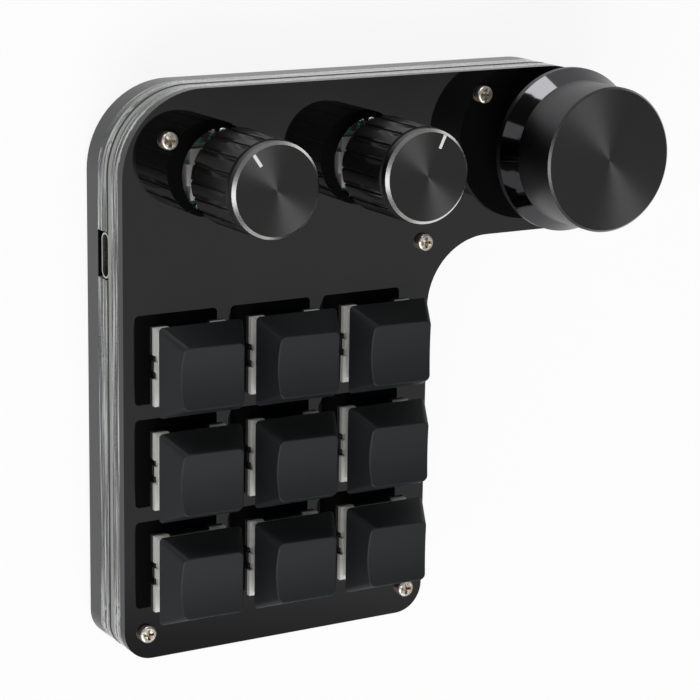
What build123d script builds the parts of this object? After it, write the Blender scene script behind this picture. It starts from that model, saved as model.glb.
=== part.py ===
from build123d import *
import math
import os

# Macro keypad: an L-shaped layered case with nine keys, two small dials and one large dial.
# It lies on a desk: z = 0 is the desk, +Z the way the keys face, +Y from the keys to the
# dials, +X along the arm. The origin is under the middle of the overall size. Millimetres.

# Key grid
key_pitch = 21.0

# Case outline, measured from the middle of the key grid
grid_to_left = 35.0
grid_to_right = 33.5
grid_to_bottom = 38.6
grid_to_arm = 40.5
arm_width = 34.0
arm_end_flat = 0.4
corner_radius = 17.0
bottom_radius = 6.0
inner_radius = 14.0

# Dial axes along the arm, from the middle of the key grid and the arm's centre line
dial_1_x = -13.5
dial_2_x = 20.0
main_dial_x = 61.6
small_dial_offset_y = 0.35
main_dial_offset_y = 0.85

# Case layers, from the desk up
foot_height = 1.5
foot_radius = 4.0
foot_inset = 8.5
back_plate_thickness = 5.0
lower_frame_height = 4.0
gasket_thickness = 0.5
board_thickness = 1.6
board_inset = 0.1
upper_frame_height = 3.0
plate_thickness = 2.0
frame_wall = 3.2

# Case screws and their inserts
screw_radius = 1.0
screw_hole_gap = 0.1
screw_head_radius = 1.75
screw_head_height = 1.3
screw_head_rounding = 0.45
screw_cross_length = 2.2
screw_cross_width = 0.58
screw_cross_depth = 0.8
screw_tip_height = 2.1
screw_land_radius = 4.2
insert_radius = 1.6
insert_length = 4.0
insert_gap = 0.03
screw_left_inset = 4.7
screw_right_inset = 4.3
screw_bottom_inset = 5.4
screw_corner_inset = 6.46
screw_arm_inset = 4.9
screw_arm_x = 45.6
screw_inner_inset = 6.6
screw_inner_angle = 138.0

# Key switches, heights from the top of the plate
switch_cutout = 14.0
switch_body = 13.9
switch_flange = 15.6
switch_flange_thickness = 1.0
switch_notch_depth = 0.7
switch_side_notch = 4.8
switch_end_notch = 9.2
switch_tab_width = 2.0
switch_tab_setback = 0.35
switch_floor = 1.0
switch_cavity = 11.8
housing_base = 14.2
housing_top_x = 9.2
housing_top_y = 8.8
housing_height = 5.0
housing_roof = 1.0
housing_wall = 0.8
key_travel = 3.5
stem_neck_x = 6.4
stem_neck_y = 6.0
stem_neck_gap = 0.2
stem_shoulder = 0.6
stem_roof = 1.95
stem_rest_gap = 0.05
stem_floor_gap = 0.2
stem_cross_length = 4.1
stem_cross_width = 1.2
stem_cross_gap = 0.05
pole_radius = 1.0
pole_gap = 0.08
pole_entry = 0.3
pole_end_gap = 0.1
post_radius = 1.9
post_floor = 0.5
spring_radius = 2.15
spring_wall = 0.3
spring_pocket_gap = 0.35
contact_y = 5.1
contact_x = 2.7
contact_width = 3.6
contact_height = 4.0
contact_thickness = 0.2
contact_pin_radius = 0.5
pin_tail = 1.0
board_hole_gap = 0.1

# Keycaps, sculpted: the left edge is lower than the right
cap_base = 18.0
cap_base_rounding = 0.9
cap_press_gap = 0.9
cap_roof_gap = 0.2
cap_top_x = 12.5
cap_top_y = 12.4
cap_top_rounding = 1.3
cap_top_shift_x = -0.15
cap_top_shift_y = -0.3
cap_left_rise = 1.6
cap_right_rise = 2.3
cap_dish_depth = 0.8
cap_wall = 1.3
cap_edge_rounding = 0.3
cap_boss_radius = 2.75

# Rotary encoders, heights from the top of the circuit board
encoder_base_x = 15.2
encoder_base_y = 12.6
encoder_base_height = 1.5
encoder_base_floor = 0.3
encoder_base_bore = 2.6
encoder_frame_x = 13.8
encoder_frame_y = 10.0
encoder_frame_height = 4.6
encoder_sheet = 0.5
encoder_leg_gap = 0.3
encoder_leg_width = 4.2
encoder_leg_tail = 1.0
encoder_crimp_reach = 0.6
encoder_crimp_height = 0.6
bushing_radius = 3.5
bushing_length = 5.0
shaft_radius = 3.0
shaft_gap = 0.05
shaft_height = 23.0
shaft_flat_start = 13.0
shaft_flat = 1.5
shaft_tail_radius = 1.8
shaft_tail_flat = 1.2
push_travel = 0.5
push_gap = 0.05
dome_radius = 2.3
dome_height = 0.2
dome_sheet = 0.12
rotor_radius = 4.0
rotor_gap = 0.3
rotor_thickness = 1.2
rotor_shaft_gap = 0.1
terminal_pitch = 2.5
terminal_width = 1.2
terminal_thickness = 0.4
terminal_reach = 1.1
terminal_crimp_gap = 0.1
well_gap = 0.38

# Dials, heights from the top of the plate
dial_bushing_gap = 0.5
dial_bore_gap = 0.3
small_dial_1_gap = 5.1
small_dial_2_gap = 4.2
small_dial_radius = 9.6
small_dial_top_radius = 9.5
small_dial_height = 14.7
small_dial_ribbed_height = 14.1
small_dial_groove_count = 18
small_dial_groove_radius = 0.3
small_dial_collar_step = 0.3
dial_cap_radius = 9.3
dial_cap_thickness = 1.9
dial_cap_bevel = 0.6
pointer_inner = 5.9
pointer_outer = 8.65
pointer_width = 0.65
pointer_depth = 0.2
pointer_proud = 0.03
pointer_1_angle = 125.0
pointer_2_angle = 65.0
main_dial_gap = 6.9
main_dial_skirt_radius = 16.8
main_dial_rim = 1.3
main_dial_skirt_height = 4.6
main_dial_radius = 14.65
main_dial_height = 15.5
main_dial_bevel = 0.42
grub_radius = 1.45
grub_hole_gap = 0.05
grub_length = 8.0
grub_height = 15.0
grub_socket = 1.5
grub_socket_depth = 2.0

# USB-C socket, hung under the board, its mouth in the left wall
usb_y = 42.0
usb_width = 8.94
usb_height = 3.2
usb_depth = 7.3
usb_corner = 1.5
usb_wall = 0.3
usb_recess = 0.2
usb_slot_gap = 0.23
usb_tongue_width = 6.7
usb_tongue_thickness = 0.7
usb_tongue_setback = 0.7
usb_block_depth = 2.0
usb_block_gap = 0.03

# Parts under the circuit board
chip_size = 10.0
chip_thickness = 1.4
crystal_x = 3.2
crystal_y = 2.5
crystal_height = 0.8
regulator_x = 3.0
regulator_y = 1.7
regulator_height = 1.2
capacitor_x = 1.6
capacitor_y = 0.8
capacitor_height = 0.8
chip_to_parts = 3.0
part_spacing = 4.4

# Overall size, and where the middle of the key grid lies in it
small_dial_y = grid_to_arm + arm_width / 2 + small_dial_offset_y
main_dial_y = grid_to_arm + arm_width / 2 + main_dial_offset_y
arm_end_x = main_dial_x + arm_width / 2
reach_right = max(arm_end_x, main_dial_x + main_dial_skirt_radius)
reach_top = max(grid_to_arm + arm_width, main_dial_y + main_dial_skirt_radius)
grid_x = (grid_to_left - reach_right) / 2
grid_y = (grid_to_bottom - reach_top) / 2

# Heights from the desk
back_plate_z = foot_height
lower_frame_z = back_plate_z + back_plate_thickness
gasket_z = lower_frame_z + lower_frame_height
board_z = gasket_z + gasket_thickness
board_top = board_z + board_thickness
plate_z = board_top + upper_frame_height
plate_top = plate_z + plate_thickness

# Heights inside a switch, from the top of the plate
board_level = board_top - plate_top
floor_level = board_level + switch_floor
housing_top = switch_flange_thickness + housing_height
housing_ceiling = housing_top - housing_roof
shoulder_top = housing_ceiling - stem_rest_gap
shoulder_bottom = floor_level + key_travel + stem_floor_gap
pocket_ceiling = shoulder_top - stem_roof
neck_top = housing_top - stem_rest_gap
pole_bottom = floor_level - pole_entry
bore_bottom = pole_bottom - key_travel - pole_end_gap
post_bottom = bore_bottom - post_floor
pin_bottom = board_level - board_thickness - pin_tail
cap_bottom = switch_flange_thickness + key_travel + cap_press_gap
cap_ceiling = housing_top + key_travel + cap_roof_gap
cross_top = cap_ceiling - stem_rest_gap

# Heights inside an encoder, from the top of the board
shaft_bottom = encoder_base_floor + dome_height + push_gap + push_travel
rotor_bottom = encoder_base_height + rotor_gap
rotor_top = rotor_bottom + rotor_thickness
shaft_shoulder = rotor_top + push_travel + rotor_shaft_gap
bushing_top = encoder_frame_height + bushing_length
leg_outer = encoder_frame_x / 2 + encoder_leg_gap + encoder_sheet
terminal_root = encoder_frame_y / 2 + encoder_crimp_reach + terminal_crimp_gap
recess_top = board_level + bushing_top + push_travel + dial_bushing_gap
shaft_top = board_level + shaft_height
well_radius = math.hypot(encoder_frame_x / 2, encoder_frame_y / 2) + well_gap


def slab(section, bottom, height):
    return Pos(0, 0, bottom) * extrude(section, height)


def block(x0, x1, y0, y1, z0, z1):
    middle = Pos((x0 + x1) / 2, (y0 + y1) / 2, (z0 + z1) / 2)
    return middle * Box(x1 - x0, y1 - y0, z1 - z0)


def disc(radius, bottom, top):
    return Pos(0, 0, (bottom + top) / 2) * Cylinder(radius, top - bottom)


def turned(points):
    return revolve(make_face(Plane.XZ * Polyline(*points, close=True)), Axis.Z)


def group(solids):
    return Compound(children=list(solids))


def save(shape, name):
    export_step(shape, f"parts/{name}.step")


# Places of the repeated pieces, in the part's frame
def key_places():
    places = []
    for row in range(3):
        for column in range(3):
            x = grid_x + (column - 1) * key_pitch
            y = grid_y + (1 - row) * key_pitch
            places.append((f"r{row + 1}c{column + 1}", x, y))
    return places


def dial_places():
    places = [(dial_1_x, small_dial_y), (dial_2_x, small_dial_y), (main_dial_x, main_dial_y)]
    return [(grid_x + x, grid_y + y) for x, y in places]


def screw_places():
    left = -grid_to_left + screw_left_inset
    right = grid_to_right - screw_right_inset
    bottom = -grid_to_bottom + screw_bottom_inset
    top = grid_to_arm + arm_width
    corner = (corner_radius - screw_corner_inset) * math.sqrt(0.5)
    inner = inner_radius + screw_inner_inset
    turn = math.radians(screw_inner_angle)
    places = [
        (left, bottom),
        (right, bottom),
        (-grid_to_left + corner_radius - corner, top - corner_radius + corner),
        (screw_arm_x, top - screw_arm_inset),
        (
            grid_to_right + inner_radius + inner * math.cos(turn),
            grid_to_arm - inner_radius + inner * math.sin(turn),
        ),
    ]
    return [(grid_x + x, grid_y + y) for x, y in places]


def foot_places():
    arm_middle = grid_to_arm + arm_width / 2
    bottom = -grid_to_bottom + foot_inset
    places = [
        (-grid_to_left + foot_inset, bottom),
        (grid_to_right - foot_inset, bottom),
        (-grid_to_left + corner_radius, arm_middle),
        (arm_end_x - arm_width / 2, arm_middle),
    ]
    return [(grid_x + x, grid_y + y) for x, y in places]


# The L-shaped outline shared by every layer, drawn in by an inset
def case_outline(inset=0.0):
    left = grid_x - grid_to_left + inset
    right = grid_x + grid_to_right - inset
    end = grid_x + arm_end_x - inset
    bottom = grid_y - grid_to_bottom + inset
    arm_low = grid_y + grid_to_arm + inset
    top = grid_y + grid_to_arm + arm_width - inset
    end_radius = (arm_width - arm_end_flat) / 2 - inset
    corners = [(left, bottom), (right, bottom), (right, arm_low), (end, arm_low), (end, top), (left, top)]
    radii = [
        bottom_radius - inset,
        bottom_radius - inset,
        inner_radius + inset,
        end_radius,
        end_radius,
        corner_radius - inset,
    ]
    return make_face(FilletPolyline(*corners, radius=radii, close=True))


def drilled(section, radius):
    return section - [Pos(x, y) * Circle(radius) for x, y in screw_places()]


# Top plate: nine square cut-outs, three round wells round the encoders, five screw holes
def make_top_plate():
    section = drilled(case_outline(), screw_radius + screw_hole_gap)
    section -= [Pos(x, y) * Rectangle(switch_cutout, switch_cutout) for _, x, y in key_places()]
    section -= [Pos(x, y) * Circle(well_radius) for x, y in dial_places()]
    return slab(section, plate_z, plate_thickness)


# Frame section: a wall all round, widened to a land at each screw
def frame_section():
    cavity = case_outline(frame_wall) - [
        Pos(x, y) * Circle(screw_land_radius) for x, y in screw_places()
    ]
    return drilled(case_outline() - cavity, screw_radius + screw_hole_gap)


def usb_slot():
    middle = grid_y + usb_y
    half = usb_width / 2 + usb_slot_gap
    left = grid_x - grid_to_left
    return Pos(left, middle) * Rectangle(4 * frame_wall, 2 * half)


def make_upper_frame():
    return slab(frame_section(), board_top, upper_frame_height)


def make_lower_frame():
    return slab(frame_section() - usb_slot(), lower_frame_z, lower_frame_height)


def make_gasket():
    return slab(frame_section() - usb_slot(), gasket_z, gasket_thickness)


# Circuit board: holes for the switch posts and pins, the encoder legs and terminals, the screws
def make_circuit_board():
    section = drilled(case_outline(board_inset), screw_radius + screw_hole_gap)
    holes = []
    for _, x, y in key_places():
        holes.append(Pos(x, y) * Circle(post_radius + board_hole_gap))
        for side in (-1, 1):
            pin = Pos(x + side * contact_x, y + contact_y)
            holes.append(pin * Circle(contact_pin_radius + board_hole_gap))
    for x, y in dial_places():
        for side in (-1, 1):
            leg = Pos(x + side * (leg_outer - encoder_sheet / 2), y)
            slot_x = encoder_sheet + 2 * board_hole_gap
            slot_y = encoder_leg_width + 2 * board_hole_gap
            holes.append(leg * Rectangle(slot_x, slot_y))
        for place_x, place_y in terminal_places():
            slot_x = terminal_width + 2 * board_hole_gap
            slot_y = terminal_thickness + 2 * board_hole_gap
            holes.append(Pos(x + place_x, y + place_y) * Rectangle(slot_x, slot_y))
    return slab(section - holes, board_z, board_thickness)


def make_back_plate():
    plate = slab(case_outline(), back_plate_z, back_plate_thickness)
    pockets = []
    for x, y in screw_places():
        top = lower_frame_z
        pockets.append(Pos(x, y) * disc(insert_radius + insert_gap, top - insert_length, top))
    return plate - pockets


# Case screws: pan heads with a cross recess, running down into brass inserts
def make_case_screw():
    head = disc(screw_head_radius, plate_top, plate_top + screw_head_height)
    head = fillet(head.edges().group_by(Axis.Z)[-1], screw_head_rounding)
    for turn in (0, 90):
        slot = Box(screw_cross_length, screw_cross_width, 2 * screw_cross_depth)
        head -= Pos(0, 0, plate_top + screw_head_height) * Rot(0, 0, turn) * slot
    return head + disc(screw_radius, back_plate_z + screw_tip_height, plate_top)


def make_threaded_insert():
    outer = disc(insert_radius, lower_frame_z - insert_length, lower_frame_z)
    return outer - disc(screw_radius + insert_gap, lower_frame_z - insert_length, lower_frame_z)


def make_rubber_foot():
    foot = disc(foot_radius, 0, foot_height)
    return chamfer(foot.edges().group_by(Axis.Z)[0], foot_height / 5)


# USB-C socket: a rounded shell open at the case's left wall, a block and tongue inside
def usb_section(inset):
    return RectangleRounded(usb_width - 2 * inset, usb_height - 2 * inset, usb_corner - inset)


def usb_length(section, start, length):
    mouth = grid_x - grid_to_left + usb_recess
    plane = Plane(
        origin=(mouth + start, grid_y + usb_y, board_z - usb_height / 2),
        x_dir=(0, 1, 0),
        z_dir=(1, 0, 0),
    )
    return extrude(plane * section, length)


def make_usb_shell():
    return usb_length(usb_section(0) - usb_section(usb_wall), 0, usb_depth)


def make_usb_tongue():
    block_start = usb_depth - usb_block_depth
    base = usb_length(usb_section(usb_wall + usb_block_gap), block_start, usb_block_depth)
    blade_section = Rectangle(usb_tongue_width, usb_tongue_thickness)
    blade = usb_length(blade_section, usb_tongue_setback, usb_depth - usb_tongue_setback)
    return base + blade


# Chip and small parts, soldered under the board between the dials
def under_board(x, y, size_x, size_y, height):
    return Pos(grid_x + x, grid_y + y, board_z - height / 2) * Box(size_x, size_y, height)


def make_controller_chip():
    chip = under_board((dial_1_x + dial_2_x) / 2, small_dial_y, chip_size, chip_size, chip_thickness)
    return chamfer(chip.edges().group_by(Axis.Z)[0], chip_thickness / 5)


def make_board_parts():
    middle = (dial_1_x + dial_2_x) / 2
    row = small_dial_y + chip_size / 2 + chip_to_parts
    return group([
        under_board(middle, row, crystal_x, crystal_y, crystal_height),
        under_board(middle - part_spacing, row, regulator_x, regulator_y, regulator_height),
        under_board(middle + part_spacing, row, capacitor_x, capacitor_y, capacitor_height),
        under_board(middle + part_spacing, row + 2 * capacitor_y, capacitor_x, capacitor_y, capacitor_height),
        under_board(middle - part_spacing, row + 2 * regulator_y, capacitor_x, capacitor_y, capacitor_height),
    ])


# Switch base: body through the plate, notched flange on it, post down through the board
def make_switch_base():
    half = switch_body / 2
    rim = switch_flange / 2
    base = block(-half, half, -half, half, board_level, 0)
    base += block(-rim, rim, -rim, rim, 0, switch_flange_thickness)
    near = rim - switch_notch_depth
    tab = rim - switch_tab_setback
    for side in (-1, 1):
        notch = block(near, rim, -switch_side_notch / 2, switch_side_notch / 2, 0, switch_flange_thickness)
        notch -= block(near, tab, -switch_tab_width / 2, switch_tab_width / 2, 0, switch_flange_thickness)
        end = block(-switch_end_notch / 2, switch_end_notch / 2, near, rim, 0, switch_flange_thickness)
        turn = Rot(0, 0, 90 - 90 * side)
        base -= turn * notch
        base -= turn * end
    inner = switch_cavity / 2
    base -= block(-inner, inner, -inner, inner, floor_level, switch_flange_thickness)
    base += disc(post_radius, post_bottom, floor_level)
    base -= disc(pole_radius + pole_gap, bore_bottom, floor_level)
    for side in (-1, 1):
        pin = Pos(side * contact_x, contact_y)
        base -= pin * disc(contact_pin_radius + insert_gap, board_level, floor_level)
    return base


# Upper housing: a tapered hood on the flange, open at the top for the stem
def tapered(size_0, height_0, size_1, height_1):
    low = Pos(0, 0, height_0) * Rectangle(*size_0)
    high = Pos(0, 0, height_1) * Rectangle(*size_1)
    return loft([low, high], ruled=True)


def make_switch_top():
    foot = switch_flange_thickness
    outer = tapered((housing_base, housing_base), foot, (housing_top_x, housing_top_y), housing_top)
    share = housing_roof / housing_height
    inner_x = housing_top_x + (housing_base - housing_top_x) * share - 2 * housing_wall
    inner_y = housing_top_y + (housing_base - housing_top_y) * share - 2 * housing_wall
    inner = tapered((switch_cavity, switch_cavity), foot, (inner_x, inner_y), housing_ceiling)
    mouth_x = stem_neck_x / 2 + stem_neck_gap
    mouth_y = stem_neck_y / 2 + stem_neck_gap
    mouth = block(-mouth_x, mouth_x, -mouth_y, mouth_y, housing_ceiling, housing_top)
    return outer - inner - mouth


def cross(gap):
    long = stem_cross_length / 2 + gap
    wide = stem_cross_width / 2 + gap
    return Rectangle(2 * long, 2 * wide) + Rectangle(2 * wide, 2 * long)


# Stem: shoulders held under the housing, a neck and cross above, a guide pole below
def make_stem():
    shoulder_x = stem_neck_x / 2 + stem_shoulder + stem_neck_gap
    shoulder_y = stem_neck_y / 2 + stem_shoulder + stem_neck_gap
    neck_x = stem_neck_x / 2
    neck_y = stem_neck_y / 2
    stem = block(-shoulder_x, shoulder_x, -shoulder_y, shoulder_y, shoulder_bottom, shoulder_top)
    stem += block(-neck_x, neck_x, -neck_y, neck_y, shoulder_top, neck_top)
    stem -= disc(spring_radius + spring_pocket_gap, shoulder_bottom, pocket_ceiling)
    stem += disc(pole_radius, pole_bottom, pocket_ceiling)
    return stem + slab(cross(0), neck_top, cross_top - neck_top)


def make_spring():
    outer = disc(spring_radius, floor_level, pocket_ceiling)
    return outer - disc(spring_radius - spring_wall, floor_level, pocket_ceiling)


def make_switch_contacts():
    solids = []
    half = contact_thickness / 2
    for side in (-1, 1):
        x = side * contact_x
        start = x - contact_width / 2
        end = x + contact_width / 2
        leaf_top = floor_level + contact_height
        leaf = block(start, end, contact_y - half, contact_y + half, floor_level, leaf_top)
        pin = Pos(x, contact_y) * disc(contact_pin_radius, pin_bottom, floor_level)
        solids.append(leaf + pin)
    return solids


# Keycap: tapering walls, a top that leans to the left with a dish along X, hollow below
def make_keycap():
    low_edge = cap_ceiling + cap_left_rise
    high_edge = cap_ceiling + cap_right_rise
    middle = (low_edge + high_edge) / 2
    lean = math.degrees(math.atan2(high_edge - low_edge, cap_top_x))
    over = cap_dish_depth
    share = over / (middle - cap_bottom)
    over_x = cap_top_x - (cap_base - cap_top_x) * share
    over_y = cap_top_y - (cap_base - cap_top_y) * share
    foot = Pos(0, 0, cap_bottom) * RectangleRounded(cap_base, cap_base, cap_base_rounding)
    top_place = Pos(cap_top_shift_x, cap_top_shift_y, middle) * Rot(0, -lean, 0)
    top = top_place * Pos(0, 0, over) * RectangleRounded(over_x, over_y, cap_top_rounding)
    cap = loft([foot, top], ruled=True)
    half = cap_top_y / 2
    dish_radius = (half**2 + cap_dish_depth**2) / (2 * cap_dish_depth)
    dish_axis = top_place * Pos(0, 0, dish_radius - cap_dish_depth) * Rot(0, 90, 0)
    cap -= dish_axis * Cylinder(dish_radius, 2 * cap_base)
    dish = cap.faces().sort_by(Axis.Z)[-1]
    cap = fillet(dish.edges(), cap_edge_rounding)
    shrink = (cap_ceiling - cap_bottom) / (middle - cap_bottom)
    roof_x = cap_base - (cap_base - cap_top_x) * shrink - 2 * cap_wall
    roof_y = cap_base - (cap_base - cap_top_y) * shrink - 2 * cap_wall
    mouth = cap_base - 2 * cap_wall
    cap -= tapered((mouth, mouth), cap_bottom, (roof_x, roof_y), cap_ceiling)
    boss = disc(cap_boss_radius, neck_top, cap_ceiling)
    return cap + boss - slab(cross(stem_cross_gap), neck_top, cap_ceiling - neck_top)


# Encoder, heights from the board: moulded base, folded steel frame with its bushing
def terminal_places():
    y = encoder_base_y / 2 + terminal_reach - terminal_thickness / 2
    far = [(step * terminal_pitch, y) for step in (-1, 0, 1)]
    near = [(step * terminal_pitch, -y) for step in (-1, 1)]
    return far + near


def make_encoder_base():
    half_x = encoder_base_x / 2
    half_y = encoder_base_y / 2
    base = block(-half_x, half_x, -half_y, half_y, 0, encoder_base_height)
    base -= disc(encoder_base_bore, encoder_base_floor, encoder_base_height)
    notch_x = leg_outer - encoder_sheet
    notch_y = encoder_leg_width / 2 + board_hole_gap
    for start, end in ((-half_x, -notch_x), (notch_x, half_x)):
        base -= block(start, end, -notch_y, notch_y, 0, encoder_base_height)
    return base


def make_encoder_frame():
    half_x = encoder_frame_x / 2
    half_y = encoder_frame_y / 2
    leg = encoder_leg_width / 2
    roof = encoder_frame_height - encoder_sheet
    crimp_y = half_y + encoder_crimp_reach
    crimp_top = encoder_base_height + encoder_crimp_height
    frame = block(-half_x, half_x, -half_y, half_y, roof, encoder_frame_height)
    for side in (-1, 1):
        turn = Rot(0, 0, 90 - 90 * side)
        wall = block(half_x - encoder_sheet, half_x, -half_y, half_y, encoder_base_height, roof)
        tail = -board_thickness - encoder_leg_tail
        fold = block(half_x, leg_outer, -leg, leg, roof, encoder_frame_height)
        strip = block(leg_outer - encoder_sheet, leg_outer, -leg, leg, tail, roof)
        crimp = block(-half_x, half_x, half_y, crimp_y, encoder_base_height, crimp_top)
        frame += turn * (wall + fold + strip + crimp)
    frame += disc(bushing_radius, encoder_frame_height, bushing_top)
    return frame - disc(shaft_radius + shaft_gap, roof, bushing_top)


def make_encoder_terminals():
    solids = []
    half = terminal_width / 2
    for x, y in terminal_places():
        side = math.copysign(1, y)
        inner = abs(y) - terminal_thickness / 2
        outer = abs(y) + terminal_thickness / 2
        low = encoder_base_height
        high = encoder_base_height + terminal_thickness
        tail = -board_thickness - pin_tail
        strip = block(x - half, x + half, inner, outer, tail, high)
        root = block(x - half, x + half, terminal_root, inner, low, high)
        place = strip + root
        solids.append(place if side > 0 else mirror(place, Plane.XZ))
    return solids


def make_push_dome():
    low = encoder_base_floor
    high = encoder_base_floor + dome_height
    inner = dome_radius * 0.45
    outer = dome_radius * 0.7
    return turned([
        (0, high - dome_sheet),
        (inner, high - dome_sheet),
        (outer, low),
        (dome_radius, low),
        (dome_radius, low + dome_sheet),
        (outer, low + dome_sheet),
        (inner, high),
        (0, high),
    ])


# A round section with a flat on its -Y side
def flatted(radius, flat):
    return Circle(radius) - Pos(0, -flat - radius) * Rectangle(2 * radius, 2 * radius)


def make_wiper_rotor():
    hole = flatted(shaft_tail_radius + shaft_gap, shaft_tail_flat + shaft_gap)
    return slab(Circle(rotor_radius) - hole, rotor_bottom, rotor_thickness)


def make_encoder_shaft():
    tail = slab(flatted(shaft_tail_radius, shaft_tail_flat), shaft_bottom, shaft_shoulder - shaft_bottom)
    barrel = disc(shaft_radius, shaft_shoulder, shaft_flat_start)
    end = slab(flatted(shaft_radius, shaft_flat), shaft_flat_start, shaft_height - shaft_flat_start)
    return tail + barrel + end


# What every dial has below: a bore that fits the shaft, and room for the bushing's end
def dial_hollow(foot):
    start = max(recess_top, foot)
    flat_start = max(start, board_level + shaft_flat_start)
    bore = slab(Circle(shaft_radius + shaft_gap), start, flat_start - start)
    end_section = flatted(shaft_radius + shaft_gap, shaft_flat + shaft_gap)
    hollow = bore + slab(end_section, flat_start, shaft_top + shaft_gap - flat_start)
    if recess_top > foot:
        hollow += disc(bushing_radius + dial_bore_gap, foot, recess_top)
    return hollow


# Small dial: slightly tapered, with grooves that stop below a smooth collar
def make_small_dial(foot):
    top = foot + small_dial_height
    ribbed_top = foot + small_dial_ribbed_height
    collar = small_dial_top_radius - small_dial_collar_step
    body = turned([
        (0, foot),
        (small_dial_radius, foot),
        (small_dial_top_radius, ribbed_top),
        (collar, ribbed_top + small_dial_collar_step),
        (collar, top),
        (0, top),
    ])
    lean = math.degrees(math.atan2(small_dial_radius - small_dial_top_radius, small_dial_ribbed_height))
    middle = (small_dial_radius + small_dial_top_radius) / 2
    groove = Pos(middle, 0, (foot + ribbed_top) / 2) * Rot(0, -lean, 0)
    groove = groove * Cylinder(small_dial_groove_radius, small_dial_ribbed_height)
    turn = 360 / small_dial_groove_count
    body -= [Rot(0, 0, step * turn) * groove for step in range(small_dial_groove_count)]
    return body - dial_hollow(foot)


def pointer_place(foot, angle):
    top = foot + small_dial_height + dial_cap_thickness
    middle = (pointer_inner + pointer_outer) / 2
    return Rot(0, 0, angle) * Pos(middle, 0, top)


def make_dial_cap(foot, angle):
    low = foot + small_dial_height
    high = low + dial_cap_thickness
    cap = turned([
        (0, low),
        (dial_cap_radius, low),
        (dial_cap_radius, high - dial_cap_bevel),
        (dial_cap_radius - dial_cap_bevel, high),
        (0, high),
    ])
    slot = Box(pointer_outer - pointer_inner, pointer_width, 2 * pointer_depth)
    return cap - pointer_place(foot, angle) * slot


def make_pointer(foot, angle):
    height = pointer_depth + pointer_proud
    bar = Box(pointer_outer - pointer_inner, pointer_width, height)
    return pointer_place(foot, angle) * Pos(0, 0, pointer_proud - height / 2) * bar


# Large dial: a thin rim, a cone up to a plain cylinder, a fine bevel at the top
def make_main_dial():
    top = main_dial_gap + main_dial_height
    body = turned([
        (0, main_dial_gap),
        (main_dial_skirt_radius, main_dial_gap),
        (main_dial_skirt_radius, main_dial_gap + main_dial_rim),
        (main_dial_radius, main_dial_gap + main_dial_skirt_height),
        (main_dial_radius, top - main_dial_bevel),
        (main_dial_radius - main_dial_bevel, top),
        (0, top),
    ])
    body -= dial_hollow(main_dial_gap)
    length = main_dial_radius + grub_radius
    hole = Pos(0, -length / 2, grub_height) * Rot(90, 0, 0)
    return body - hole * Cylinder(grub_radius + grub_hole_gap, length)


def make_main_dial_screw():
    start = -shaft_flat - shaft_gap
    middle = Pos(0, start - grub_length / 2, grub_height) * Rot(90, 0, 0)
    screw = middle * Cylinder(grub_radius, grub_length)
    socket = RegularPolygon(grub_socket / 2, 6, major_radius=False)
    place = Plane(origin=(0, start - grub_length, grub_height), z_dir=(0, 1, 0))
    return screw - extrude(place * socket, grub_socket_depth)


# Write every piece in its place
os.makedirs("parts", exist_ok=True)

save(make_top_plate(), "top_plate")
save(make_upper_frame(), "upper_frame")
save(make_circuit_board(), "circuit_board")
save(make_gasket(), "gasket")
save(make_lower_frame(), "lower_frame")
save(make_back_plate(), "back_plate")
save(group(Pos(x, y) * make_case_screw() for x, y in screw_places()), "case_screws")
save(group(Pos(x, y) * make_threaded_insert() for x, y in screw_places()), "threaded_inserts")
save(group(Pos(x, y) * make_rubber_foot() for x, y in foot_places()), "rubber_feet")
save(make_usb_shell(), "usb_shell")
save(make_usb_tongue(), "usb_tongue")
save(make_controller_chip(), "controller_chip")
save(make_board_parts(), "board_parts")

keycap = make_keycap()
stem = make_stem()
spring = make_spring()
switch_base = make_switch_base()
switch_top = make_switch_top()
switch_bases = []
switch_tops = []
contacts = []
for name, x, y in key_places():
    place = Pos(x, y, plate_top)
    save(place * keycap, f"keycap_{name}")
    save(place * stem, f"stem_{name}")
    save(place * spring, f"spring_{name}")
    switch_bases.append(place * switch_base)
    switch_tops.append(place * switch_top)
    contacts.extend(place * contact for contact in make_switch_contacts())

encoder_bases = []
encoder_frames = []
push_domes = []
for number, (x, y) in enumerate(dial_places(), 1):
    place = Pos(x, y, board_top)
    encoder_bases.append(place * make_encoder_base())
    encoder_frames.append(place * make_encoder_frame())
    push_domes.append(place * make_push_dome())
    contacts.extend(place * terminal for terminal in make_encoder_terminals())
    save(place * make_wiper_rotor(), f"wiper_rotor_{number}")
    save(place * make_encoder_shaft(), f"encoder_shaft_{number}")

save(group(switch_bases), "switch_bases")
save(group(switch_tops), "switch_tops")
save(group(contacts), "contacts")
save(group(encoder_bases), "encoder_bases")
save(group(encoder_frames), "encoder_frames")
save(group(push_domes), "push_domes")

feet = (small_dial_1_gap, small_dial_2_gap)
angles = (pointer_1_angle, pointer_2_angle)
for number, ((x, y), foot, angle) in enumerate(zip(dial_places(), feet, angles), 1):
    place = Pos(x, y, plate_top)
    save(place * make_small_dial(foot), f"small_dial_{number}")
    save(place * make_dial_cap(foot, angle), f"dial_cap_{number}")
    save(place * make_pointer(foot, angle), f"pointer_{number}")

x, y = dial_places()[2]
save(Pos(x, y, plate_top) * make_main_dial(), "main_dial")
save(Pos(x, y, plate_top) * make_main_dial_screw(), "main_dial_screw")
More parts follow.
